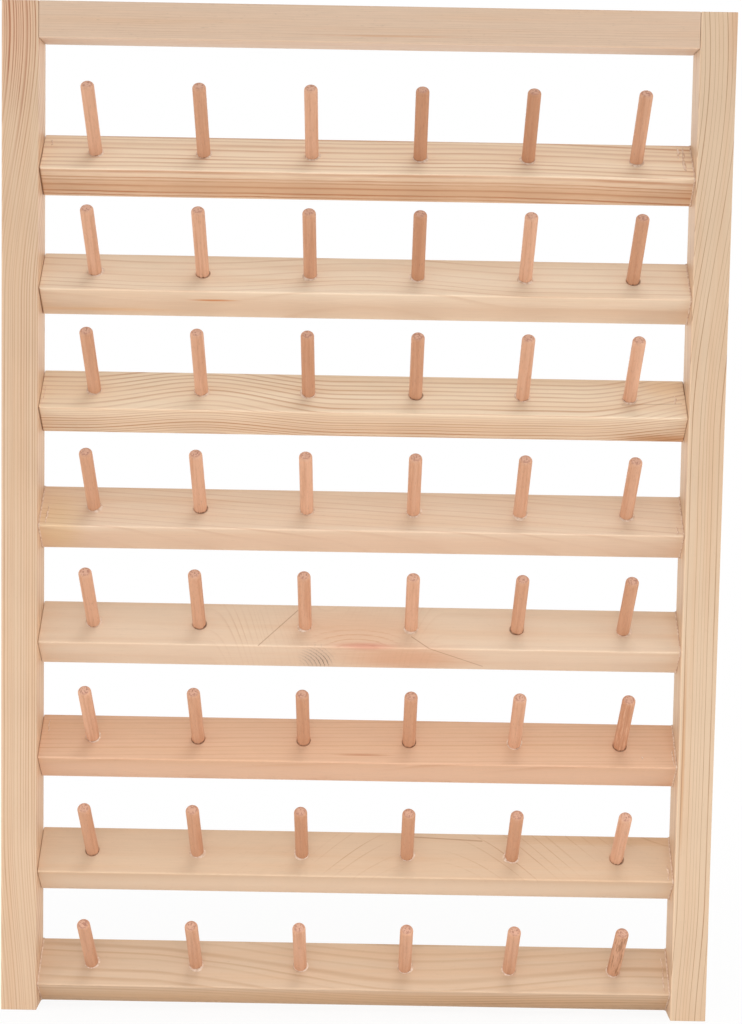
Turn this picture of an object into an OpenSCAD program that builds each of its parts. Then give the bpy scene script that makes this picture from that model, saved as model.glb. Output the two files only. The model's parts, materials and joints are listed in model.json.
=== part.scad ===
// Wall thread rack: two stiles and a top rail hold slanted bars, and each bar carries a row of
// pegs for spools of thread. The pegs are glued into blind sockets, and brads driven through the
// stiles hold the bars and the rail. A ring hanger is screwed to the back of each stile.
// The origin is the middle of the rail's back face. X runs to the right, Y back to the wall, Z up.

/* [Frame] */
// Overall width across both stiles
rack_width = 300; // [240:1:420]
// Overall height of the stiles
rack_height = 422; // [350:1:560]
// Width of a stile, seen from the front
stile_width = 15; // [12:0.5:24]
// Depth of the stiles and the rail, from front to back
frame_depth = 16.5; // [13:0.5:24]
// Height of the top rail
rail_height = 15; // [12:0.5:24]

/* [Bars] */
// Number of bars
bar_count = 8; // [3:1:8]
// Distance of a bar's front edge behind the front of the stiles
bar_setback = 1; // [0:0.1:2]
// Slope of a bar's upper face
bar_tilt = 45; // [40:1:48]
// Thickness of a bar, square to its upper face
bar_thickness = 14.5; // [11:0.5:16]
// Clear height between the rail and the first bar
top_space = 37; // [34:0.5:60]
// Height of the lowest bar above the feet of the stiles
foot_space = 0.5; // [0:0.5:20]

/* [Pegs] */
// Number of pegs in each bar
pegs_per_bar = 6; // [2:1:6]
// Diameter of a peg
peg_diameter = 5.5; // [4:0.1:6.5]
// Full length of a peg, with the part in its socket
peg_length = 41; // [30:0.5:48]
// Wood left between a peg's socket and the bar's back
socket_wall = 1.2; // [0.8:0.1:2.5]
// Radius of the rounding at a peg's tip
peg_tip_radius = 1.6; // [0.5:0.1:2]
// How much a peg's radius narrows down to its inner end, so that it drives into its socket
peg_taper = 0.2; // [0.1:0.05:0.4]
// Distance from the left stile to the first peg's axis
first_peg_inset = 22.3; // [20:0.1:40]
// Distance from the last peg's axis to the right stile
last_peg_inset = 23.6; // [20:0.1:40]

/* [Brads] */
// Diameter of a brad's shank
brad_diameter = 1.4; // [1:0.1:2]
// Length of a brad, with its head and point
brad_length = 28; // [24:1:32]
// Diameter of a brad's head
brad_head_diameter = 2.4; // [2:0.1:3]
// Thickness of a brad's head
brad_head_height = 0.8; // [0.5:0.1:1.2]
// Length of a brad's point
brad_point = 2; // [1:0.5:3]
// Distance between the two brads in each end of the rail
rail_brad_spacing = 7; // [5:0.5:8]

/* [Hangers] */
// Distance of a ring's pivot below the top of the rack
hanger_drop = 28; // [24:1:40]
// Width of a hanger's strap
strap_width = 8; // [6:0.5:9]
// Thickness of a hanger's strap
strap_thickness = 1; // [0.8:0.1:1.5]
// Length of a strap below the ring's pivot
strap_length = 25; // [24:0.5:30]
// Diameter of a ring's wire
ring_wire = 2; // [1.5:0.1:2.4]
// Clear width inside a ring
ring_opening = 10; // [9.5:0.1:10]
// Length of a ring's straight sides
ring_side = 8; // [6:0.5:9]
// Distance of a hanger's screw below the ring's pivot
screw_drop = 20; // [19.5:0.5:21]
// Diameter of a hanger screw's shank
screw_diameter = 3; // [2.5:0.1:3.2]
// Length of a hanger screw below its head
screw_length = 12; // [8:1:12]
// Length of a hanger screw's point
screw_point = 3; // [2:0.5:4]
// Diameter of a hanger screw's head
screw_head_diameter = 5.6; // [5:0.1:6]
// Height of a hanger screw's head
screw_head_height = 1.8; // [1.5:0.1:2.5]
// Width of the cross recess in a hanger screw's head
recess_width = 0.9; // [0.6:0.1:1]
// Span of the cross recess in a hanger screw's head
recess_span = 3.2; // [2.5:0.1:3.5]
// Depth of the cross recess in a hanger screw's head
recess_depth = 1; // [0.6:0.1:1.2]

/* [Fits] */
// Glue line at the ends of the bars and the rail
glue_line = 0.1; // [0.05:0.01:0.3]
// Gap round a peg in its socket
socket_gap = 0.05; // [0.02:0.01:0.15]
// Gap round a brad or a screw in its hole
hole_gap = 0.03; // [0.01:0.01:0.1]
// Gap round a ring's wire in the strap's eye
eye_gap = 0.3; // [0.3:0.05:0.6]
// Gap round a hanger screw in its strap
strap_hole_gap = 0.2; // [0.1:0.05:0.4]

/* [Hidden] */
// Smoothness of round shapes, and the overlap that lets a cut break through a face
$fn = 48;
cut = 1;
arc_step = 15;

// The frame
rack_top = rail_height / 2;
rack_foot = rack_top - rack_height;
inner_width = rack_width - 2 * stile_width;
fitted_length = inner_width - 2 * glue_line;
stile_x = (rack_width - stile_width) / 2;

// A bar's section: front edge, upper back edge, flat back against the wall plane, lower edge
bar_front = -(frame_depth - bar_setback);
bar_rise = -bar_front * tan(bar_tilt);
bar_low = bar_front + bar_thickness * sin(bar_tilt);
bar_drop = bar_thickness * cos(bar_tilt);
bar_back_foot = -bar_drop - bar_low * tan(bar_tilt);
bar_section = [[bar_front, 0], [0, bar_rise], [0, bar_back_foot], [bar_low, -bar_drop]];

// The bars are spread evenly between the space under the rail and the space above the feet
first_bar_z = -rail_height / 2 - top_space - bar_rise;
last_bar_z = rack_foot + foot_space + bar_drop;
row_pitch = (first_bar_z - last_bar_z) / (bar_count - 1);
function bar_z(row) = first_bar_z - (row - 1) * row_pitch;

// The pegs stand in the middle of a bar's upper face, in sockets that stop short of the bar's back
peg_radius = peg_diameter / 2;
socket_radius = peg_radius + socket_gap;
socket_room = -bar_front / 2 - socket_wall - socket_radius * cos(bar_tilt);
socket_depth = socket_room / sin(bar_tilt);
first_peg_x = -inner_width / 2 + first_peg_inset;
last_peg_x = inner_width / 2 - last_peg_inset;
peg_pitch = (last_peg_x - first_peg_x) / (pegs_per_bar - 1);
function peg_x(peg) = first_peg_x + (peg - 1) * peg_pitch;

// Brads go in level with each bar's front edge at half its depth, and in pairs into the rail
bar_brads = [for (row = [1 : bar_count]) [bar_front / 2, bar_z(row)]];
rail_brads = [for (end = [-1, 1]) [-frame_depth / 2, end * rail_brad_spacing / 2]];
brad_places = concat(bar_brads, rail_brads);

// A ring turns about the eye's axis, which stands clear of the strap behind the stile
hanger_z = rack_top - hanger_drop;
eye_bore_radius = ring_wire / 2 + eye_gap;
eye_radius = eye_bore_radius + strap_thickness;
eye_y = eye_radius;
ring_bend = (ring_opening + ring_wire) / 2;

pine = [0.88, 0.76, 0.6];
beech = [0.8, 0.6, 0.46];
steel = [0.75, 0.76, 0.78];

// Places each brad of one side, with its head at the stile's outer face. Side is -1 left, 1 right
module on_brads(side) {
    for (place = brad_places)
        translate([side * rack_width / 2, place[0], place[1]])
            rotate([0, -side * 90, 0])
                children();
}

// Places each peg of a row, with its axis square to the bar's upper face, which is at height 0
module on_pegs(row) {
    for (peg = [1 : pegs_per_bar])
        translate([peg_x(peg), bar_front / 2, bar_z(row) + bar_rise / 2])
            rotate([bar_tilt, 0, 0])
                children();
}

// Places a hanger on the back of a stile, with the ring's axis level with height 0
module on_hanger(side) {
    translate([side * stile_x, 0, hanger_z])
        children();
}

// Places a hanger's screw, pointing into the stile, with the strap's back face at height 0
module on_screw(side) {
    on_hanger(side)
        translate([0, strap_thickness, -screw_drop])
            rotate([90, 0, 0])
                children();
}

// A brad's round outline, grown by a gap for its hole
module brad_shape(gap) {
    shank = brad_diameter / 2 + gap;
    head = brad_head_diameter / 2 + gap;
    shoulder = brad_head_height + gap;
    rotate_extrude()
        polygon([
            [0, 0],
            [head, 0],
            [head, shoulder],
            [shank, shoulder],
            [shank, brad_length - brad_point + gap],
            [0, brad_length + gap]
        ]);
}

// A hanger screw's shank and point, grown by a gap for its hole
module screw_shank(gap) {
    shank = screw_diameter / 2 + gap;
    rotate_extrude()
        polygon([[0, 0], [shank, 0], [shank, screw_length - screw_point + gap], [0, screw_length + gap]]);
}

module stile(side) {
    color(pine)
        difference() {
            translate([side * stile_x, -frame_depth / 2, rack_top - rack_height / 2])
                cube([stile_width, frame_depth, rack_height], center = true);
            on_brads(side) brad_shape(hole_gap);
            on_screw(side) screw_shank(hole_gap);
        }
}

module top_rail() {
    color(pine)
        difference() {
            translate([0, -frame_depth / 2, 0])
                cube([fitted_length, frame_depth, rail_height], center = true);
            on_brads(-1) brad_shape(hole_gap);
            on_brads(1) brad_shape(hole_gap);
        }
}

module bar(row) {
    color(pine)
        difference() {
            translate([-fitted_length / 2, 0, bar_z(row)])
                rotate([90, 0, 90])
                    linear_extrude(fitted_length)
                        polygon(bar_section);
            on_pegs(row)
                translate([0, 0, -socket_depth])
                    cylinder(r = socket_radius, h = socket_depth + cut);
            on_brads(-1) brad_shape(hole_gap);
            on_brads(1) brad_shape(hole_gap);
        }
}

module pegs(row) {
    tip_start = peg_length - peg_tip_radius;
    tip_arc = [
        for (turn = [0 : arc_step : 90])
            [peg_radius - peg_tip_radius * (1 - cos(turn)), tip_start + peg_tip_radius * sin(turn)]
    ];
    color(beech)
        on_pegs(row)
            translate([0, 0, -socket_depth])
                rotate_extrude()
                    polygon(concat(
                        [[0, 0], [peg_radius - peg_taper, 0], [peg_radius, socket_depth]],
                        tip_arc,
                        [[0, peg_length]]
                    ));
}

module brads(side) {
    color(steel)
        on_brads(side) brad_shape(0);
}

module hanger_strap(side) {
    end_radius = strap_width / 2;
    color(steel)
        on_hanger(side)
            difference() {
                union() {
                    translate([-end_radius, 0, end_radius - strap_length])
                        cube([strap_width, strap_thickness, strap_length - end_radius]);
                    translate([0, 0, end_radius - strap_length])
                        rotate([-90, 0, 0])
                            cylinder(r = end_radius, h = strap_thickness);
                    translate([0, eye_y, 0])
                        rotate([0, 90, 0])
                            cylinder(r = eye_radius, h = strap_width, center = true);
                }
                translate([0, eye_y, 0])
                    rotate([0, 90, 0])
                        cylinder(r = eye_bore_radius, h = strap_width + 2 * cut, center = true);
                translate([0, -cut, -screw_drop])
                    rotate([-90, 0, 0])
                        cylinder(d = screw_diameter + 2 * strap_hole_gap, h = strap_thickness + 2 * cut);
            }
}

// The ring hangs down from the eye: a straight pivot, two straight sides and a round end
module hanger_ring(side) {
    color(steel)
        on_hanger(side)
            translate([0, eye_y, 0]) {
                rotate([0, 90, 0])
                    cylinder(d = ring_wire, h = 2 * ring_bend, center = true);
                for (end = [-1, 1])
                    translate([end * ring_bend, 0, 0]) {
                        sphere(d = ring_wire);
                        translate([0, 0, -ring_side])
                            cylinder(d = ring_wire, h = ring_side);
                    }
                translate([0, 0, -ring_side])
                    rotate([-90, 0, 0])
                        rotate_extrude(angle = 180)
                            translate([ring_bend, 0])
                                circle(d = ring_wire);
            }
}

// A pan head with a cross recess on a pointed shank
module screw() {
    difference() {
        union() {
            screw_shank(0);
            translate([0, 0, -screw_head_height])
                rotate_extrude()
                    polygon([
                        [0, 0],
                        [screw_head_diameter / 4, 0],
                        [screw_head_diameter / 2, screw_head_height / 2],
                        [screw_head_diameter / 2, screw_head_height],
                        [0, screw_head_height]
                    ]);
        }
        for (turn = [0, 90])
            rotate([0, 0, turn])
                translate([-recess_span / 2, -recess_width / 2, -screw_head_height - cut])
                    cube([recess_span, recess_width, recess_depth + cut]);
    }
}

module hanger_screws() {
    color(steel)
        for (side = [-1, 1])
            on_screw(side) screw();
}

stile(-1);  // left_stile
stile(1);  // right_stile
top_rail();
for (row = [1 : bar_count]) bar(row);
for (row = [1 : bar_count]) pegs(row);
brads(-1);  // left_brads
brads(1);  // right_brads
hanger_strap(-1);  // left_hanger_strap
hanger_strap(1);  // right_hanger_strap
hanger_ring(-1);  // left_hanger_ring
hanger_ring(1);  // right_hanger_ring
hanger_screws();
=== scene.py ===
"""Looks of a wall thread rack: bare pine boards, beech pegs, dried glue and zinc-plated steel."""
import json
import math
import random
from dataclasses import dataclass

import bmesh
import bpy
from mathutils import Matrix, Vector


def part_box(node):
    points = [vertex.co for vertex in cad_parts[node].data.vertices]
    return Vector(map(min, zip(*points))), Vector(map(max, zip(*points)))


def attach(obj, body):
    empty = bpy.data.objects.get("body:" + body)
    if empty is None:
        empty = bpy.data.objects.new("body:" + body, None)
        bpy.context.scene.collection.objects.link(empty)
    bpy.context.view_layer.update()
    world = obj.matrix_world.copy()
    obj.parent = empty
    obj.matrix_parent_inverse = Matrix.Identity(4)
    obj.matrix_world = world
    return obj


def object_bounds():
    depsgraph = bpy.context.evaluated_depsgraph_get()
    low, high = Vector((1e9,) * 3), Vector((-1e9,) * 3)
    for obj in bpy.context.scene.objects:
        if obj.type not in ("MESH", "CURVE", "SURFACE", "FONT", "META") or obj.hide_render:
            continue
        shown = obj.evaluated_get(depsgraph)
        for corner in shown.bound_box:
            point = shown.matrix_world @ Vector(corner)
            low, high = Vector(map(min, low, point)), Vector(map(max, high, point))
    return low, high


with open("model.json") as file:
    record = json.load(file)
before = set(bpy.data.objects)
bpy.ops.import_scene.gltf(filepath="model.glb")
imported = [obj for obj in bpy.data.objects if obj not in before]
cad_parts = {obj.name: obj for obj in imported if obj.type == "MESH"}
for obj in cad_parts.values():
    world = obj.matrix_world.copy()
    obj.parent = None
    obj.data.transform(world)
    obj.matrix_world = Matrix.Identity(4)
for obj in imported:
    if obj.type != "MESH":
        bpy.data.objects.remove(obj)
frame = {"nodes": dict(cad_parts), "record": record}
cad_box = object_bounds()

# A millimetre in the frame's metres, and the rack's directions
MM = 0.001
SIDEWAYS = Vector((1, 0, 0))
BACKWARDS = Vector((0, 1, 0))
UPWARDS = Vector((0, 0, 1))

# Rows and pegs, in millimetres. The pegs of a row are one node, so the frame doesn't tell how many they are
pegs_per_row = 6
row_count = sum(name.startswith("bar_") for name in frame["nodes"])
rows = range(1, row_count + 1)
pins = {mount["name"]: mount for mount in frame["record"]["mounts"]}
first_pin = pins["spool_peg_row_1"]
peg_radius = first_pin["dims"]["r_mm"]
peg_low, peg_high = (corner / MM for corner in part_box("row_1_pegs"))
first_peg_x = first_pin["pos_m"][0] / MM
last_peg_x = peg_high.x - peg_radius
peg_pitch = (last_peg_x - first_peg_x) / (pegs_per_row - 1)

# Directions on a bar: square to its upper face, as the pegs stand, and up that face to the back
peg_axis = Vector(first_pin["axis"])
up_slope = peg_axis.cross(SIDEWAYS)

# Sizes of the boards in millimetres. A bar's two faces slope alike, one up to the back and one down
bar_low, bar_high = (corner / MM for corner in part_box("bar_1"))
bar_end = bar_high.x
bar_depth = bar_high.y - bar_low.y
upper_width = bar_depth / up_slope.y
lower_width = (bar_high.z - bar_low.z - bar_depth) / up_slope.y
stile_low, stile_high = (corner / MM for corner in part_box("right_stile"))
stile_face = stile_low.x
stile_width = stile_high.x - stile_low.x
frame_depth = stile_high.y - stile_low.y
rail_low, rail_high = (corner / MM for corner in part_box("top_rail"))
rail_height = rail_high.z - rail_low.z


def crease(row):
    """Front edge of a bar at the rack's middle, in millimetres: where its upper and lower faces meet."""
    low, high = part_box(f"bar_{row}")
    return Vector((0, low.y / MM, high.z / MM - bar_depth))


def peg_foot(row, number):
    """Where a peg's axis meets the upper face of its bar, in millimetres."""
    pin = Vector(pins[f"spool_peg_row_{row}"]["pos_m"]) / MM
    height = (pin - crease(row)).dot(peg_axis)
    foot = pin - peg_axis * height
    foot.x = first_peg_x + peg_pitch * (number - 1)
    return foot


def paint(name, finish):
    """Gives a CAD node its finish."""
    frame["nodes"][name].data.materials[0] = finish


def make_object(name, shape, finish):
    """A piece made from a shape and its finish, linked into the scene."""
    mesh = bpy.data.meshes.new(name)
    shape.to_mesh(mesh)
    shape.free()
    mesh.materials.append(finish)
    made = bpy.data.objects.new(name, mesh)
    bpy.context.scene.collection.objects.link(made)
    return made


def srgb(red, green, blue):
    """A colour written in the usual 0 to 255 steps, as the linear colour that shaders take."""
    def linear(step):
        share = step / 255
        return share / 12.92 if share <= 0.04045 else ((share + 0.055) / 1.055) ** 2.4
    return (linear(red), linear(green), linear(blue), 1)


class Graph:
    """The node graph of a material or of the world. Most methods add nodes and return an output socket."""

    def __init__(self, owner):
        self.owner = owner
        self.owner.use_nodes = True
        self.tree = self.owner.node_tree
        self.tree.nodes.clear()

    def node(self, kind, inputs, **settings):
        """Adds a node. An input is a plain value or another node's output."""
        made = self.tree.nodes.new(kind)
        for key, value in settings.items():
            setattr(made, key, value)
        for key, value in inputs.items():
            if isinstance(value, bpy.types.NodeSocket):
                self.tree.links.new(value, made.inputs[key])
            else:
                made.inputs[key].default_value = value
        return made

    def place(self):
        """The point being shaded, in millimetres in the rack's frame."""
        metres = self.node("ShaderNodeTexCoord", {}).outputs["Object"]
        return self.scale(metres, 1 / MM)

    def math(self, operation, first, second=0.0, third=0.0):
        inputs = {0: first, 1: second, 2: third}
        return self.node("ShaderNodeMath", inputs, operation=operation).outputs[0]

    def vector(self, operation, first, second=(0, 0, 0)):
        made = self.node("ShaderNodeVectorMath", {0: first, 1: second}, operation=operation)
        is_number = operation in ("DOT_PRODUCT", "LENGTH")
        return made.outputs["Value" if is_number else "Vector"]

    def scale(self, vector, factor):
        inputs = {0: vector, "Scale": factor}
        return self.node("ShaderNodeVectorMath", inputs, operation="SCALE").outputs["Vector"]

    def join(self, x, y, z):
        return self.node("ShaderNodeCombineXYZ", {0: x, 1: y, 2: z}).outputs[0]

    def split(self, vector):
        return self.node("ShaderNodeSeparateXYZ", {0: vector}).outputs

    def noise(self, point, rate, detail=2.0, roughness=0.5, colour=False):
        """Cloudy noise from 0 to 1 that changes about so many times per millimetre along each axis."""
        place = self.vector("MULTIPLY", point, rate)
        inputs = {"Vector": place, "Scale": 1.0, "Detail": detail, "Roughness": roughness}
        made = self.node("ShaderNodeTexNoise", inputs)
        return made.outputs["Color" if colour else "Fac"]

    def noise_along(self, value):
        """Noise that changes with one number."""
        inputs = {"W": value, "Scale": 1.0, "Detail": 1.0}
        return self.node("ShaderNodeTexNoise", inputs, noise_dimensions="1D").outputs["Fac"]

    def dice(self, value):
        """A random number from 0 to 1 that stays the same for the same value."""
        return self.node("ShaderNodeTexWhiteNoise", {"W": value}, noise_dimensions="1D").outputs["Value"]

    def fade(self, value, start, end, low=0.0, high=1.0):
        """Runs smoothly from low to high while value goes from start to end."""
        inputs = {"Value": value, "From Min": start, "From Max": end, "To Min": low, "To Max": high}
        made = self.node("ShaderNodeMapRange", inputs, interpolation_type="SMOOTHSTEP")
        return made.outputs["Result"]

    def spread(self, share, low, high):
        """Runs evenly from low to high while share goes from 0 to 1."""
        inputs = {"Value": share, "To Min": low, "To Max": high}
        return self.node("ShaderNodeMapRange", inputs).outputs["Result"]

    def mix(self, share, first, second, blend="MIX"):
        """Goes from the first colour to the second with share. The numbers are the colour inputs' places."""
        inputs = {0: share, 6: first, 7: second}
        return self.node("ShaderNodeMix", inputs, data_type="RGBA", blend_type=blend).outputs[2]

    def shade(self, share, colour, low, high):
        """The colour made darker or lighter by a factor that runs from low to high with share."""
        factor = self.spread(share, low, high)
        return self.mix(1.0, colour, self.join(factor, factor, factor), "MULTIPLY")

    def bump(self, height, strength, distance):
        inputs = {"Height": height, "Strength": strength, "Distance": distance}
        return self.node("ShaderNodeBump", inputs).outputs[0]

    def surface(self, **inputs):
        """The finish itself. Returns the finished material."""
        named = {key.replace("_", " "): value for key, value in inputs.items()}
        shader = self.node("ShaderNodeBsdfPrincipled", named)
        self.node("ShaderNodeOutputMaterial", {"Surface": shader.outputs[0]})
        return self.owner


def new_material(name):
    """An empty graph for a new material."""
    return Graph(bpy.data.materials.new(name))


# Pine boards

WARM_STREAK = srgb(216, 172, 132)
CRACK_BROWN = srgb(150, 100, 66)
KNOT_BROWN = srgb(112, 86, 72)
KNOT_STAIN = srgb(204, 180, 160)
# Painted shade in the gap of a wide hole round a peg
HOLE_SHADE = srgb(120, 80, 56)

# How far boards lie apart in the noise of the wood, of the ring widths and of single years
BOARD_STEP = (371.3, 57.7, 91.9)
WIDTH_STEP = 13.1
YEAR_STEP = 7.7

# Seeds of the boards that aren't bars. A bar's seed is its row
FIRST_STILE_SEED = 20
RAIL_SEED = 30


@dataclass
class Bend:
    """Growth rings that bulge at one place along the board, by so many rings, and run out over its reach."""
    place: float
    reach: float
    rings: float


@dataclass
class Mark:
    """A soft-edged patch in the wood. Place and size run along, across and deep; lines adds darker rings."""
    place: tuple
    size: tuple
    colour: tuple
    strength: float
    lines: float = 0.0


@dataclass
class Crack:
    """A fine dark line on a board, between two points given along, across and deep."""
    start: tuple
    end: tuple
    width: float = 0.35
    strength: float = 0.5


@dataclass
class Knot:
    """Fibres curved round a centre, seen inside a patch. Points and sizes run along, across and deep."""
    centre: tuple
    ring: tuple
    patch: tuple
    size: tuple
    stain: float = 0.5
    strength: float = 1.0
    colour: tuple = KNOT_BROWN


@dataclass
class Board:
    """How one board was cut from its tree and what shows on it. Lengths are in millimetres."""
    # Colours of the wood grown early in a year and of the dark lines grown late
    early: tuple
    late: tuple
    # Where the tree's middle lies, across and deep, and how thick one year's growth is
    pith: tuple
    ring: float
    # Rings passed for each millimetre along the board, its bends, and how far the rings wander
    drift: float = 0.0
    bends: tuple = ()
    wave: float = 0.8
    # Share of a ring that is dark, how dark it is, and how much the fibres lighten and darken
    line: float = 0.35
    contrast: float = 0.6
    fibre: float = 0.06
    # Single features. A hole is its middle, along, across and deep; the gap round its peg is drawn as painted
    # shade
    marks: tuple = ()
    cracks: tuple = ()
    knots: tuple = ()
    holes: tuple = ()


def straight_grain(across_lines, deep_lines, across_size, deep_size, reach=70):
    """Pith and ring width of a board cut far from the pith that shows so many lines on two of its faces."""
    rate = Vector((across_lines / across_size, deep_lines / deep_size))
    pith = -rate.normalized() * reach
    return {"pith": tuple(pith), "ring": 1 / rate.length}


def growth_rings(graph, board, seed, axes, shuffled):
    """How many years of growth lie between the pith and the point, with the board's waves and bends."""
    wander = graph.noise(shuffled, rate=(1 / 80, 1 / 22, 1 / 22), colour=True)
    wander = graph.vector("SUBTRACT", wander, (0.5, 0.5, 0.5))
    wander = graph.scale(wander, 2 * board.wave)
    from_pith = graph.vector("SUBTRACT", graph.join(0.0, *axes[1:]), (0, *board.pith))
    from_pith = graph.vector("ADD", from_pith, wander)
    from_pith = graph.vector("MULTIPLY", from_pith, (0, 1, 1))
    years = graph.math("DIVIDE", graph.vector("LENGTH", from_pith), board.ring)
    years = graph.math("MULTIPLY_ADD", axes[0], board.drift, years)
    for bend in board.bends:
        away = graph.math("ABSOLUTE", graph.math("SUBTRACT", axes[0], bend.place))
        years = graph.math("ADD", years, graph.fade(away, start=bend.reach, end=0.0, high=bend.rings))

    # Thick and thin years: the noise changes slowly with the years and shifts them by up to so many rings
    change = 0.35
    shift = 1.4
    uneven = graph.noise_along(graph.math("MULTIPLY_ADD", years, change, seed * WIDTH_STEP))
    return graph.math("MULTIPLY_ADD", uneven, shift, years)


def late_wood(graph, board, seed, years, shuffled):
    """The dark part of each ring: stronger in some years than in others, and patchy along the board."""
    season = graph.math("FRACT", years)
    after_peak = 0.3
    peak = 1 - after_peak * board.line
    rise = graph.fade(season, start=1 - board.line, end=peak)
    fall = graph.fade(season, start=1.0, end=peak)
    year = graph.math("ADD", graph.math("FLOOR", years), seed * YEAR_STEP)
    yearly = graph.spread(graph.dice(year), low=0.4, high=1.0)
    cloud = graph.noise(shuffled, rate=(1 / 60, 1 / 8, 1 / 8))
    patchy = graph.fade(cloud, start=0.25, end=0.7, low=0.5, high=1.1)
    dark = graph.math("MULTIPLY", rise, fall)
    dark = graph.math("MULTIPLY", dark, yearly)
    return graph.math("MULTIPLY", dark, patchy)


def patch(graph, point, fibre, place, size):
    """How far a point lies inside a soft-edged patch, which the fibres fray: 1 in its middle, 0 outside."""
    fray = 0.5
    away = graph.vector("DIVIDE", graph.vector("SUBTRACT", point, place), size)
    away = graph.math("MULTIPLY_ADD", fibre, fray, graph.vector("LENGTH", away))
    return graph.fade(away, start=1.3, end=0.4)


def draw_crack(graph, point, colour, crack):
    """The colour with a fine dark line drawn into it."""
    core = 0.2 * crack.width
    run = Vector(crack.end) - Vector(crack.start)
    away = graph.vector("SUBTRACT", point, crack.start)
    share = graph.math("DIVIDE", graph.vector("DOT_PRODUCT", away, tuple(run)), run.length_squared)
    share = graph.node("ShaderNodeClamp", {"Value": share}).outputs[0]
    gap = graph.vector("LENGTH", graph.vector("SUBTRACT", away, graph.scale(tuple(run), share)))
    dark = graph.fade(gap, start=crack.width, end=core, high=crack.strength)
    return graph.mix(dark, colour, CRACK_BROWN)


def draw_knot(graph, point, fibre, colour, knot):
    """The colour with a knot's grey stain and its curved fibres drawn into it."""
    fray = 0.9
    inside = patch(graph, point, fibre, knot.patch, knot.size)
    colour = graph.mix(graph.math("MULTIPLY", inside, knot.stain), colour, KNOT_STAIN)
    turns = graph.vector("DIVIDE", graph.vector("SUBTRACT", point, knot.centre), knot.ring)
    turns = graph.math("MULTIPLY_ADD", fibre, fray, graph.vector("LENGTH", turns))
    off_line = graph.math("PINGPONG", turns, 0.5)
    lines = graph.fade(off_line, start=0.32, end=0.48, high=knot.strength)
    return graph.mix(graph.math("MULTIPLY", lines, inside), colour, knot.colour)


def draw_hole(graph, point, colour, hole):
    """The colour with the painted shade of a gap drawn into it, round a hole that is a little wider than a
    peg.
    """
    away = graph.vector("LENGTH", graph.vector("SUBTRACT", point, hole))
    dark = graph.fade(away, start=peg_radius + 0.35, end=peg_radius + 0.1, high=0.5)
    return graph.mix(dark, colour, HOLE_SHADE)


def board_colour(graph, board, point, fibre, streak, dark):
    """The board's colour with all that shows on it, and the strength of its ring lines."""
    colour = graph.mix(streak, board.early, WARM_STREAK)
    contrast = board.contrast
    for mark in board.marks:
        inside = patch(graph, point, fibre, mark.place, mark.size)
        colour = graph.mix(graph.math("MULTIPLY", inside, mark.strength), colour, mark.colour)
        if mark.lines:
            contrast = graph.math("MULTIPLY_ADD", inside, mark.lines, contrast)
    lines = graph.math("MULTIPLY", dark, contrast)
    colour = graph.mix(lines, colour, board.late)
    for knot in board.knots:
        colour = draw_knot(graph, point, fibre, colour, knot)
    for crack in board.cracks:
        colour = draw_crack(graph, point, colour, crack)
    for hole in board.holes:
        colour = draw_hole(graph, point, colour, hole)
    return colour, lines


def pine(name, board, seed, corner, along, across, deep):
    """Bare planed pine: growth rings through the whole board, with fibres, resin ducts and colour streaks."""
    graph = new_material(name)
    offset = graph.vector("SUBTRACT", graph.place(), tuple(corner))
    axes = [graph.vector("DOT_PRODUCT", offset, tuple(axis)) for axis in (along, across, deep)]
    point = graph.join(*axes)
    shuffled = graph.vector("ADD", point, tuple(seed * step for step in BOARD_STEP))

    # Growth rings, then fibres, resin ducts and warm streaks along the grain
    years = growth_rings(graph, board, seed, axes, shuffled)
    dark = late_wood(graph, board, seed, years, shuffled)
    fibre = graph.noise(shuffled, rate=(1 / 11, 2.2, 2.2), detail=4, roughness=0.6)
    duct = graph.noise(shuffled, rate=(1 / 2.5, 3.5, 3.5), detail=1)
    duct = graph.fade(duct, start=0.66, end=0.8)
    streak = graph.noise(shuffled, rate=(1 / 140, 1 / 5, 1 / 5), detail=3)
    streak = graph.fade(streak, start=0.38, end=0.72, high=0.3)

    # Colour, with a painted highlight that lightens the front corner
    duct_dark = 1.5 * board.fibre
    colour, lines = board_colour(graph, board, point, fibre, streak, dark)
    colour = graph.shade(fibre, colour, low=1 - board.fibre, high=1 + board.fibre)
    colour = graph.shade(duct, colour, low=1.0, high=1 - duct_dark)
    corner_gap = graph.vector("LENGTH", graph.join(0.0, *axes[1:]))
    colour = graph.shade(graph.fade(corner_gap, start=0.9, end=0.3), colour, low=1.0, high=1.12)

    # Ring lines stand a little proud and resin ducts are fine grooves
    line_height = 0.6
    duct_depth = 0.5
    relief = graph.math("MULTIPLY_ADD", lines, line_height, fibre)
    relief = graph.math("MULTIPLY_ADD", duct, -duct_depth, relief)
    return graph.surface(
        Base_Color=colour,
        Roughness=graph.spread(fibre, low=0.52, high=0.72),
        Specular_IOR_Level=0.3,
        Normal=graph.bump(relief, strength=0.25, distance=0.12 * MM),
    )


def bar_grain(upper_lines, lower_lines):
    """Rings that show so many lines on a bar's upper face and on its lower one, counted upwards on both."""
    return straight_grain(upper_lines, -lower_lines, upper_width, lower_width)


def lower_face(colour, strength, lines, middle=0, reach=400):
    """A tone that covers the lower face of a bar, or a stretch of that face."""
    thin = 6
    deep = 9
    return Mark((middle, 0, deep), (reach, thin, deep), colour, strength, lines)


def open_joint(width, strength):
    """A dark line down the left end of a bar's lower face, where it meets the stile."""
    return Crack((-bar_end, 0, 0), (-bar_end, 0, lower_width), width, strength)


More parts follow.
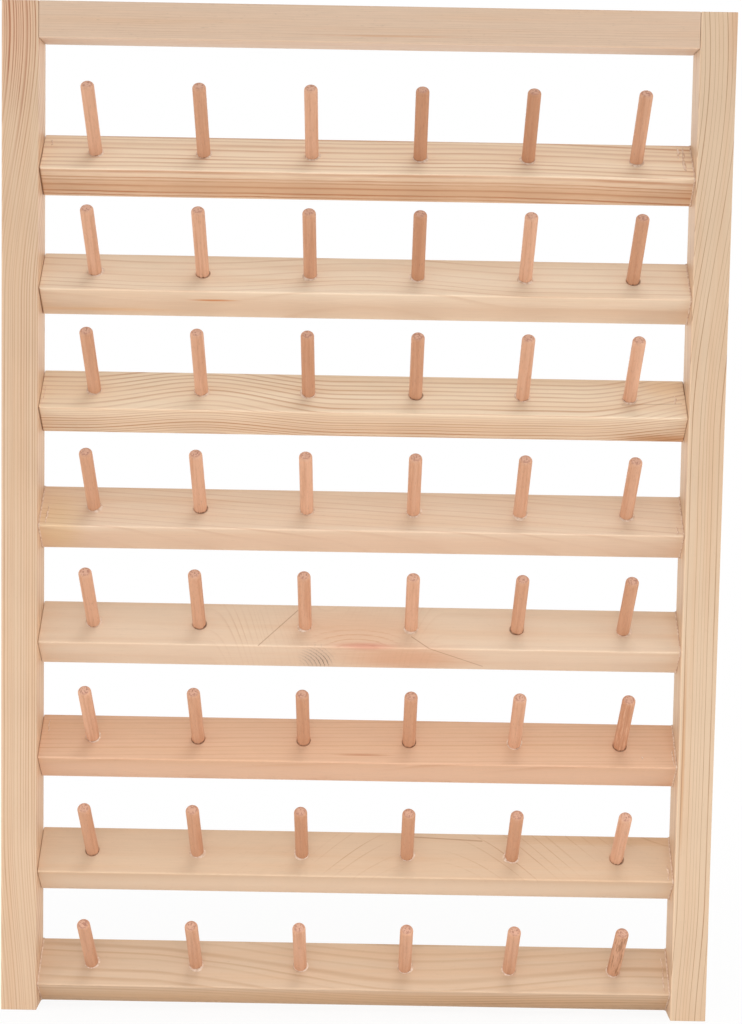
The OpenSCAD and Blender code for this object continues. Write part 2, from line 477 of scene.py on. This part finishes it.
BARS = {
    1: Board(srgb(243, 220, 192), srgb(186, 120, 78), **bar_grain(6.5, 6.5), contrast=0.85, line=0.6,
             bends=(Bend(160, 110, 1.2),),
             marks=(lower_face(srgb(208, 159, 118), 0.75, 0.5),),
             cracks=(open_joint(0.9, 0.9),
                     Crack((-bar_end, 0, 0), (-bar_end, 12, 0), 0.6, 0.6))),
    2: Board(srgb(238, 216, 190), srgb(200, 152, 112), **bar_grain(6, 2), contrast=0.5,
             bends=(Bend(0, 70, -1.5), Bend(-140, 60, -0.6)),
             marks=(lower_face(srgb(220, 187, 157), 0.65, -0.2),
                    Mark((-63, 0, 5), (13, 2.5, 0.8), srgb(206, 132, 74), 0.9),
                    Mark((-110, 0, 11), (40, 3, 1.5), srgb(224, 180, 134), 0.6)),
             cracks=(open_joint(0.8, 0.8),)),
    3: Board(srgb(238, 216, 188), srgb(184, 126, 84), **bar_grain(7, 10), contrast=0.65, line=0.5,
             bends=(Bend(-66, 55, -3.2), Bend(150, 60, -5)),
             marks=(lower_face(srgb(220, 185, 152), 0.5, 0.4),
                    Mark((126, 0, 13), (26, 6, 4), srgb(198, 138, 86), 0.7, 0.3),
                    Mark((-120, 10, 0), (26, 16, 6), srgb(236, 206, 172), 0.5, -0.35),
                    Mark((126, 17, 0), (13, 7, 6), srgb(230, 194, 154), 0.6, -0.4)),
             cracks=(open_joint(0.8, 0.8),
                     Crack((bar_end, 14, 0), (bar_end, upper_width, 0), 0.6, 0.8),
                     Crack((108, 7.2, 0), (133, 8.4, 0), 0.4, 0.4))),
    4: Board(srgb(230, 204, 178), srgb(200, 154, 122), **bar_grain(9, 2), contrast=0.45, drift=0.03,
             marks=(lower_face(srgb(222, 188, 160), 0.65, -0.35),
                    Mark((-128, 4, 4), (16, 20, 20), srgb(224, 188, 140), 0.6))),
    5: Board(srgb(228, 203, 177), srgb(196, 154, 120), **bar_grain(3, 1), contrast=0.15,
             bends=(Bend(-14, 50, 16),),
             marks=(Mark((-48, 9, 0), (15, 12, 6), srgb(228, 200, 170), 0.3, 0.3),
                    Mark((-2, 8, 0), (38, 18, 8), srgb(222, 180, 148), 0.6, -0.12),
                    Mark((19, 0, 7), (38, 6, 12), srgb(218, 168, 134), 0.8),
                    Mark((2, 1.0, 0), (17, 2.4, 3), srgb(214, 152, 130), 0.8)),
             cracks=(Crack((-42.5, 0, 0), (-25.6, 20, 0)),
                     Crack((22, 6, 0), (29.4, 0, 0)),
                     Crack((29.4, 0, 0), (52.3, 0, 12))),
             knots=(Knot((-30, 0, 15), (1.7, 1.7, 1.7), (-18, 0, 8), (9, 5, 10), strength=0.6),
                    Knot((-30, 0, 15), (1.7, 1.7, 1.7), (-15, 0, 10), (4, 4, 5), 0.0, 0.8),
                    Knot((-1, -3, 0), (5, 2.4, 2.4), (-1, 5, 0), (24, 8, 4), 0.0, 0.5, srgb(200, 142, 112)))),
    6: Board(srgb(221, 180, 149), srgb(190, 134, 100), **bar_grain(11, 1.5), contrast=0.45, drift=-0.012,
             fibre=0.08,
             marks=(lower_face(srgb(229, 192, 164), 0.7, -0.4),
                    Mark((2, 4, 0), (16, 0.8, 2), srgb(184, 118, 82), 0.6))),
    7: Board(srgb(218, 190, 161), srgb(176, 126, 90), **bar_grain(3.3, 0.5), contrast=0.06, line=0.16,
             bends=(Bend(31, 110, -10.8),),
             marks=(Mark((-2, 12, 0), (20, 14, 5), srgb(222, 193, 163), 0.2, 0.6),
                    Mark((72, 12, 0), (36, 14, 5), srgb(222, 190, 158), 0.3, 0.8),
                    Mark((110, 20, 0), (60, 4, 5), srgb(210, 168, 126), 0.5, 0.3),
                    lower_face(srgb(234, 210, 184), 0.8, -0.06)),
             cracks=(Crack((25, 19.8, 0), (54, 18.4, 0), 0.5, 0.45),)),
    8: Board(srgb(215, 187, 159), srgb(180, 140, 104), **bar_grain(4.4, 6), contrast=0.45, line=0.55,
             drift=0.008,
             bends=(Bend(20, 110, 2.6),),
             marks=(lower_face(srgb(217, 178, 137), 0.6, -0.15),
                    lower_face(srgb(208, 168, 128), 0.3, 0.6, middle=80, reach=75))),
}

# Pegs in holes that are a little too wide, by row: each peg's number, and the side on which the gap shows.
# The gap is painted shade on the bar
WIDE_HOLES = {
    2: {2: 1, 6: 1},
    3: {4: 1},
    4: {2: 1},
    5: {2: 1, 5: -1},
    6: {2: 0, 3: 0, 4: 0, 6: 0},
    7: {1: 0, 6: 1},
}


def wide_hole(row, number, side):
    """Middle of a wide hole on a bar, along, across and deep: a little off its peg's axis, to the front."""
    aside = 0.35
    forward = 0.3
    foot = peg_foot(row, number)
    across = (foot - crease(row)).dot(up_slope)
    return (foot.x + aside * side, across - forward, 0)


for row, board in BARS.items():
    board.holes = [wide_hole(row, number, side) for number, side in WIDE_HOLES.get(row, {}).items()]
    paint(f"bar_{row}", pine(f"pine_bar_{row}", board, row, crease(row), SIDEWAYS, up_slope, -peg_axis))

STILES = {
    "left_stile": Board(srgb(222, 192, 161), srgb(180, 122, 90),
                        **straight_grain(13, 3, stile_width, frame_depth), wave=0.4, line=0.6, contrast=0.7,
                        bends=(Bend(-5, 110, -11), Bend(-425, 85, -5)),
                        marks=(Mark((10, 5, 0), (56, 12, 40), srgb(222, 178, 148), 0.6, 1.0),)),
    "right_stile": Board(srgb(221, 193, 163), srgb(164, 118, 84),
                         **straight_grain(8, 4, stile_width, frame_depth), wave=0.5, line=0.22, contrast=0.85,
                         bends=(Bend(-15, 150, -8), Bend(-420, 60, 1.5)),
                         marks=(Mark((8, 14, 0), (40, 4, 30), srgb(214, 166, 130), 0.5, 0.2),
                                Mark((-300, 2, 0), (60, 1.2, 4), srgb(204, 150, 104), 0.6))),
}
for seed, (name, board) in enumerate(STILES.items(), FIRST_STILE_SEED):
    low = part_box(name)[0]
    corner = Vector((low.x, low.y, 0)) / MM
    paint(name, pine(f"pine_{name}", board, seed, corner, UPWARDS, SIDEWAYS, BACKWARDS))

RAIL = Board(srgb(219, 191, 166), srgb(190, 148, 116),
             **straight_grain(16, 2, rail_height, frame_depth), contrast=0.4, fibre=0.1,
             marks=(Mark((8, 3, 0), (40, 0.6, 3), srgb(206, 152, 112), 0.5),))
rail_corner = Vector((0, rail_low.y, rail_low.z))
paint("top_rail", pine("pine_top_rail", RAIL, RAIL_SEED, rail_corner, SIDEWAYS, UPWARDS, BACKWARDS))


# Beech pegs

BEECH_PALE = srgb(223, 174, 143)
BEECH_DARK = srgb(193, 140, 106)
BEECH_STREAK = srgb(182, 122, 86)
# Painted shade in the gap round a peg's foot
FOOT_SHADE = srgb(120, 78, 56)
END_GRAIN = srgb(222, 178, 158)
BURNISHED = srgb(148, 90, 74)

# How far pegs and rows lie apart in the noise of the wood, and rows in the dice for the pegs' tones
PEG_STEP = 23.7
ROW_STEP = 101.3
TONE_STEP = 11.3

# Rows with paler pegs than the others, and how far their pegs may darken
PALE_ROWS = {3: 0.8, 7: 0.8, 8: 0.5}

# From a peg's foot along its axis to the level of its box's front upper edge, which lies just past the tip
peg_reach = (Vector((0, peg_low.y, peg_high.z)) - peg_foot(1, 1)).dot(peg_axis)


@dataclass
class OddPeg:
    """A peg with a dark stain unlike the others: where in its noise the stain starts and where it is full."""
    number: int
    colour: tuple
    strength: float
    start: float
    full: float


# One peg of darker wood, and one left rough by the turning, by row
ODD_PEGS = {
    6: OddPeg(6, srgb(176, 112, 72), 0.6, 0.25, 0.6),
    8: OddPeg(6, srgb(150, 102, 64), 0.7, 0.5, 0.6),
}


def stain_odd_peg(graph, point, index, colour, odd):
    """The colour with the dark stain of a row's odd peg. A peg's index is its number, counted from 0."""
    is_odd = graph.math("COMPARE", index, odd.number - 1, 0.5)
    stain = graph.noise(point, rate=(1 / 9, 1.4, 1.4), detail=4, roughness=0.6)
    stain = graph.fade(stain, odd.start, odd.full, high=odd.strength)
    return graph.mix(graph.math("MULTIPLY", stain, is_odd), colour, odd.colour)


def draw_tip(graph, point, height, radius, colour):
    """The colour with rough end grain on the domed tip, and a dark ring where the turning burnished it."""
    paleness = 0.55
    ring_radius = 1.9
    tip = graph.fade(graph.math("SUBTRACT", peg_reach, height), start=2.6, end=1.6)
    colour = graph.mix(graph.math("MULTIPLY", tip, paleness), colour, END_GRAIN)
    blotch = graph.noise(point, rate=(1.3, 1.3, 1.3))
    pore = graph.fade(blotch, start=0.52, end=0.62, high=0.7)
    off_ring = graph.math("ABSOLUTE", graph.math("SUBTRACT", radius, ring_radius))
    broken = graph.fade(blotch, start=0.4, end=0.55, low=0.1, high=0.7)
    ring = graph.math("MULTIPLY", graph.fade(off_ring, start=0.5, end=0.1), broken)
    spots = graph.math("MULTIPLY", tip, graph.math("MAXIMUM", pore, ring))
    return graph.mix(spots, colour, BURNISHED)


def beech(row):
    """Turned beech: lengthwise streaks and short dark rays, with each peg its own tone."""
    graph = new_material(f"beech_row_{row}")
    offset = graph.vector("SUBTRACT", graph.place(), tuple(peg_foot(row, 1)))
    height = graph.vector("DOT_PRODUCT", offset, tuple(peg_axis))
    deep = graph.vector("DOT_PRODUCT", offset, tuple(up_slope))
    side = graph.split(offset)[0]
    index = graph.math("ROUND", graph.math("DIVIDE", side, peg_pitch))
    side = graph.math("MULTIPLY_ADD", index, -peg_pitch, side)
    radius = graph.vector("LENGTH", graph.join(side, deep, 0.0))

    # Streaks, fibres and rays, different in each peg
    apart = graph.math("MULTIPLY_ADD", index, PEG_STEP, row * ROW_STEP)
    point = graph.join(graph.math("ADD", height, apart), graph.math("ADD", side, apart), deep)
    streak = graph.noise(point, rate=(1 / 40, 0.7, 0.7), detail=3)
    fibre = graph.noise(point, rate=(1 / 9, 3.0, 3.0), detail=4, roughness=0.65)
    ray = graph.noise(point, rate=(1 / 2.2, 4.5, 4.5), detail=1)
    ray = graph.fade(ray, start=0.6, end=0.72)

    # Colour of the round side
    tone = graph.dice(graph.math("ADD", index, row * TONE_STEP))
    tone = graph.math("MULTIPLY", tone, PALE_ROWS.get(row, 1.0))
    colour = graph.mix(tone, BEECH_PALE, BEECH_DARK)
    colour = graph.mix(graph.fade(streak, start=0.4, end=0.75, high=0.45), colour, BEECH_STREAK)
    colour = graph.shade(fibre, colour, low=0.86, high=1.12)
    colour = graph.shade(ray, colour, low=1.0, high=0.82)
    if row in ODD_PEGS:
        colour = stain_odd_peg(graph, point, index, colour, ODD_PEGS[row])

    # Painted shade of a gap round parts of the foot, and the tip
    near_foot = graph.fade(height, start=0.9, end=0.1)
    gap = graph.math("MULTIPLY", near_foot, graph.fade(streak, start=0.45, end=0.6, high=0.7))
    colour = graph.mix(gap, colour, FOOT_SHADE)
    colour = draw_tip(graph, point, height, radius, colour)

    ray_depth = 0.6
    relief = graph.math("MULTIPLY_ADD", ray, -ray_depth, fibre)
    return graph.surface(
        Base_Color=colour,
        Roughness=graph.spread(fibre, low=0.45, high=0.7),
        Specular_IOR_Level=0.35,
        Normal=graph.bump(relief, strength=0.3, distance=0.1 * MM),
    )


for row in rows:
    paint(f"row_{row}_pegs", beech(row))


# Steel

ZINC_BRIGHT = srgb(196, 198, 204)
ZINC_DULL = srgb(170, 172, 176)
STEEL = ("left_brads", "right_brads", "left_hanger_strap", "right_hanger_strap",
         "left_hanger_ring", "right_hanger_ring", "hanger_screws")


def zinc(name):
    """Bright zinc plating: a cloudy sheen with fine scratches."""
    graph = new_material(name)
    point = graph.place()
    cloud = graph.noise(point, rate=(0.5, 0.5, 0.5), detail=3)
    scratch = graph.noise(point, rate=(6, 6, 0.4), detail=3)
    colour = graph.mix(cloud, ZINC_BRIGHT, ZINC_DULL)
    return graph.surface(
        Base_Color=graph.shade(scratch, colour, low=0.85, high=1.1),
        Metallic=1.0,
        Roughness=graph.spread(cloud, low=0.22, high=0.42),
        Normal=graph.bump(scratch, strength=0.15, distance=0.05 * MM),
    )


steel = zinc("zinc_plating")
for name in STEEL:
    paint(name, steel)


# Dried glue

GLUE_CLEAR = srgb(210, 176, 148)
GLUE_MILKY = srgb(236, 212, 192)


def dried_glue():
    """Wood glue dried to a cloudy pale film."""
    graph = new_material("dried_glue")
    point = graph.place()
    cloud = graph.noise(point, rate=(0.9, 0.9, 0.9), detail=3)
    speck = graph.noise(point, rate=(4, 4, 4))
    colour = graph.mix(graph.fade(cloud, start=0.35, end=0.65), GLUE_CLEAR, GLUE_MILKY)
    return graph.surface(
        Base_Color=graph.shade(speck, colour, low=0.9, high=1.08),
        Roughness=graph.spread(cloud, low=0.3, high=0.6),
        Specular_IOR_Level=0.45,
        Normal=graph.bump(speck, strength=0.3, distance=0.15 * MM),
    )


def uneven_ring(draw, waves=3):
    """A function of the angle that runs between 0 and 1 in a few random waves."""
    parts = []
    for order in range(1, waves + 1):
        size = draw.uniform(0.4, 1.0) / order
        start = draw.uniform(0, 2 * math.pi)
        parts.append((size, order, start))
    total = sum(size for size, order, start in parts)

    def amount(angle):
        height = sum(size * math.cos(order * angle + start) for size, order, start in parts)
        return 0.5 + 0.5 * height / total
    return amount


def add_tube(shape, rings, closed):
    """Adds a surface through rings of points, each joined to the next, with flat ends unless it is closed."""
    made = [[shape.verts.new(point * MM) for point in ring] for ring in rings]
    following = made[1:] + made[:1] if closed else made[1:]
    for ring, other in zip(made, following):
        for corner in range(len(ring)):
            after = (corner + 1) % len(ring)
            shape.faces.new((ring[corner], ring[after], other[after], other[corner]))
    if not closed:
        shape.faces.new(reversed(made[0]))
        shape.faces.new(made[-1])


def add_collar(shape, foot, draw):
    """Glue squeezed out round the foot of a peg: an uneven fillet, almost nothing on some sides."""
    steps = 40
    sunk = 0.04
    least_width = 0.12
    more_width = 1.1
    least_climb = 0.06
    more_climb = 0.7
    amount = uneven_ring(draw)
    rings = []
    for step in range(steps):
        angle = 2 * math.pi * step / steps
        share = amount(angle) ** 1.5
        width = least_width + more_width * share
        climb = least_climb + more_climb * share
        outward = SIDEWAYS * math.cos(angle) + up_slope * math.sin(angle)
        profile = ((-sunk, -sunk), (-sunk, climb), (0.25 * width, 0.4 * climb), (0.6 * width, 0.13 * climb),
                   (width, 0.0), (width, -sunk))
        rings.append([foot + outward * (peg_radius + out) + peg_axis * up for out, up in profile])
    add_tube(shape, rings, closed=True)


@dataclass
class Bead:
    """A run of glue on a bar's upper face beside a stile, from one distance behind the crease to another."""
    row: int
    side: int
    gap: float
    start: float
    end: float
    width: float


BEADS = (
    Bead(1, 1, 3.2, 5, 20, 1.7), Bead(1, 1, 5.2, 13, 20, 1.2), Bead(1, -1, 3.0, 15, 18.5, 0.9),
    Bead(3, -1, 1.0, 3, 12, 0.5), Bead(3, 1, 4.0, 8, 13, 0.8),
    Bead(4, -1, 2.6, 1.5, 11, 0.8), Bead(4, 1, 2.4, 1, 5, 1.2),
    Bead(6, 1, 0.8, 1, 9, 0.9), Bead(6, 1, 14, 4.5, 5.5, 0.5), Bead(6, -1, 2.6, 13, 19, 0.5),
    Bead(7, 1, 1.6, 1, 8, 1.1), Bead(8, 1, 2.0, 1.5, 17, 0.7),
)


def add_bead(shape, bead, draw):
    """A low wandering run of glue, thick and thin by turns."""
    corners = 8
    sunk = 0.03
    least_height = 0.12
    steepness = 0.3
    most_sway = 0.8
    thick_turn = 6
    sway_turn = 5
    least_share = 0.12
    more_share = 0.5
    length = bead.end - bead.start
    steps = 6 + 3 * int(length)
    thick = uneven_ring(draw, waves=5)
    sway = uneven_ring(draw)
    rings = []
    for step in range(steps + 1):
        share = step / steps
        rounded = math.sin(math.pi * share) ** 0.5
        width = bead.width * (least_share + more_share * thick(thick_turn * share) * rounded)
        height = least_height + steepness * width
        middle = crease(bead.row) + up_slope * (bead.start + length * share)
        middle.x = bead.side * (bar_end - bead.gap - most_sway * sway(sway_turn * share))
        ring = []
        for corner in range(corners):
            angle = 2 * math.pi * corner / corners
            up = max(-sunk, height * math.sin(angle))
            ring.append(middle + SIDEWAYS * (width * math.cos(angle)) + peg_axis * up)
        rings.append(ring)
    add_tube(shape, rings, closed=False)


# Bar ends whose joints are filled with glue, by row: -1 for the left end, 1 for the right one
GLUED_ENDS = {1: (1,), 2: (1,), 4: (-1, 1), 5: (1,), 6: (1,), 7: (1,), 8: (-1, 1)}


def add_joint(shape, row, side, draw):
    """Glue that fills the joint between a bar and a stile, along the bar's upper and lower faces."""
    steps = 24
    sunk = 0.4
    thin_edge = 0.01
    least_climb = 0.05
    more_climb = 0.15
    thick_turn = 6
    lap = 0.5
    inner = bar_end - lap
    for run, out, width in ((up_slope, peg_axis, upper_width), (-peg_axis, -up_slope, lower_width)):
        thick = uneven_ring(draw, waves=4)
        rings = []
        for step in range(steps + 1):
            share = step / steps
            climb = least_climb + more_climb * thick(thick_turn * share)
            profile = ((inner, thin_edge), (stile_face, climb), (stile_face, -sunk), (inner, -sunk))
            middle = crease(row) + run * (width * share)
            rings.append([middle + SIDEWAYS * (side * x) + out * up for x, up in profile])
        add_tube(shape, rings, closed=False)


def make_glue(row, finish):
    """All the glue that shows on one bar, as one piece."""
    draw = random.Random(row)
    shape = bmesh.new()
    for number in range(1, pegs_per_row + 1):
        if number not in WIDE_HOLES.get(row, {}):
            add_collar(shape, peg_foot(row, number), draw)
    for side in GLUED_ENDS.get(row, ()):
        add_joint(shape, row, side, draw)
    for bead in BEADS:
        if bead.row == row:
            add_bead(shape, bead, draw)
    bmesh.ops.recalc_face_normals(shape, faces=shape.faces)
    glue = make_object(f"row_{row}_glue", shape, finish)
    for face in glue.data.polygons:
        face.use_smooth = True
    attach(glue, "rack")


glue_finish = dried_glue()
for row in rows:
    make_glue(row, glue_finish)


# Eased edges on the boards

BAR_EDGE = 0.4
STILE_EDGE = 0.24


def ease_edges(node, width):
    """Rounds a board's sharp edges a little, as sanding does."""
    weld = node.modifiers.new("weld", "WELD")
    weld.merge_threshold = 0.01 * MM
    bevel = node.modifiers.new("ease", "BEVEL")
    bevel.width = width * MM
    bevel.segments = 3
    bevel.limit_method = "ANGLE"
    bevel.angle_limit = math.radians(40)
    bevel.use_clamp_overlap = False
    bevel.loop_slide = False
    node.modifiers.new("normals", "WEIGHTED_NORMAL")


for name in STILES:
    ease_edges(frame["nodes"][name], STILE_EDGE)
for name in ["top_rail"] + [f"bar_{row}" for row in rows]:
    ease_edges(frame["nodes"][name], BAR_EDGE)


# Floor, background, lights and camera, with lengths in metres

WHITE = (1, 1, 1, 1)
FLOOR_GREY = (0.9, 0.9, 0.9, 1)
FLOOR_RADIUS = 4.0


def seen_ray(graph):
    """1 where the camera looks, also in a reflection or through something clear, and 0 for other light."""
    path = graph.node("ShaderNodeLightPath", {}).outputs
    seen = path["Is Camera Ray"]
    for ray in ("Is Glossy Ray", "Is Transmission Ray"):
        seen = graph.math("MAXIMUM", seen, path[ray])
    return seen


def floor_finish():
    """Pale floor that keeps a soft shadow near the rack and runs out into plain white."""
    graph = new_material("floor_white")
    away = graph.vector("LENGTH", graph.vector("MULTIPLY", graph.place(), (1, 1, 0)))
    plain = graph.fade(away, start=60, end=450, low=0.9, high=1.0)
    plain = graph.math("MULTIPLY", seen_ray(graph), plain)
    lit = graph.node("ShaderNodeBsdfDiffuse", {"Color": FLOOR_GREY})
    white = graph.node("ShaderNodeEmission", {"Color": WHITE, "Strength": 1.0})
    both = graph.node("ShaderNodeMixShader", {0: plain, 1: lit.outputs[0], 2: white.outputs[0]})
    graph.node("ShaderNodeOutputMaterial", {"Surface": both.outputs[0]})
    return graph.owner


def make_floor():
    """A wide round floor under the rack."""
    shape = bmesh.new()
    bmesh.ops.create_circle(shape, cap_ends=True, segments=96, radius=FLOOR_RADIUS)
    floor = make_object("floor", shape, floor_finish())
    floor.location.z = cad_box[0].z


def make_background(ambient):
    """White where it is seen, and a plain even light everywhere else."""
    graph = Graph(bpy.data.worlds.new("studio"))
    strength = graph.spread(seen_ray(graph), low=ambient, high=1.0)
    light = graph.node("ShaderNodeBackground", {"Color": WHITE, "Strength": strength})
    graph.node("ShaderNodeOutputWorld", {"Surface": light.outputs[0]})
    bpy.context.scene.world = graph.owner


def make_lamp(name, place, target, size, power):
    """A square soft lamp at a place, turned to a target. The camera doesn't see it."""
    lamp = bpy.data.lights.new(name, "AREA")
    lamp.size = size
    lamp.energy = power
    holder = bpy.data.objects.new(name, lamp)
    holder.location = place
    holder.visible_camera = False
    holder.rotation_euler = (Vector(target) - Vector(place)).to_track_quat("-Z", "Y").to_euler()
    bpy.context.scene.collection.objects.link(holder)


def make_camera():
    """A camera at the photograph's place, with the image taken as 742 by 1024 pixels."""
    image_height = 1024
    focal_pixels = 1823.7
    place = Vector((3.94, -773.3, -137.9)) * MM
    pitch = 4.635
    roll = 0.986
    data = bpy.data.cameras.new("camera")
    data.lens = data.sensor_width * focal_pixels / image_height
    camera = bpy.data.objects.new("camera", data)
    tilt = Matrix.Rotation(math.radians(90 - pitch), 4, "X")
    turn = Matrix.Rotation(math.radians(roll), 4, "Z")
    camera.matrix_world = Matrix.Translation(place) @ tilt @ turn
    bpy.context.scene.collection.objects.link(camera)
    bpy.context.scene.camera = camera


rack_middle = (cad_box[0] + cad_box[1]) / 2
rack_foot = (0, 0, -0.41)
make_floor()
make_background(ambient=0.65)
make_lamp("key", place=(0.15, -0.6, 1.1), target=rack_middle, size=0.5, power=4.1)
make_lamp("left", place=(-0.95, -0.22, -0.2), target=rack_middle, size=0.5, power=2.8)
make_lamp("right", place=(0.95, -0.22, -0.2), target=rack_middle, size=0.5, power=3.1)
make_lamp("low", place=(0.0, -0.3, -0.4), target=rack_foot, size=0.3, power=0.35)
make_lamp("back", place=(0.0, 0.9, 0.0), target=rack_middle, size=0.5, power=1.9)
make_camera()
bpy.context.scene.view_settings.view_transform = "Standard"
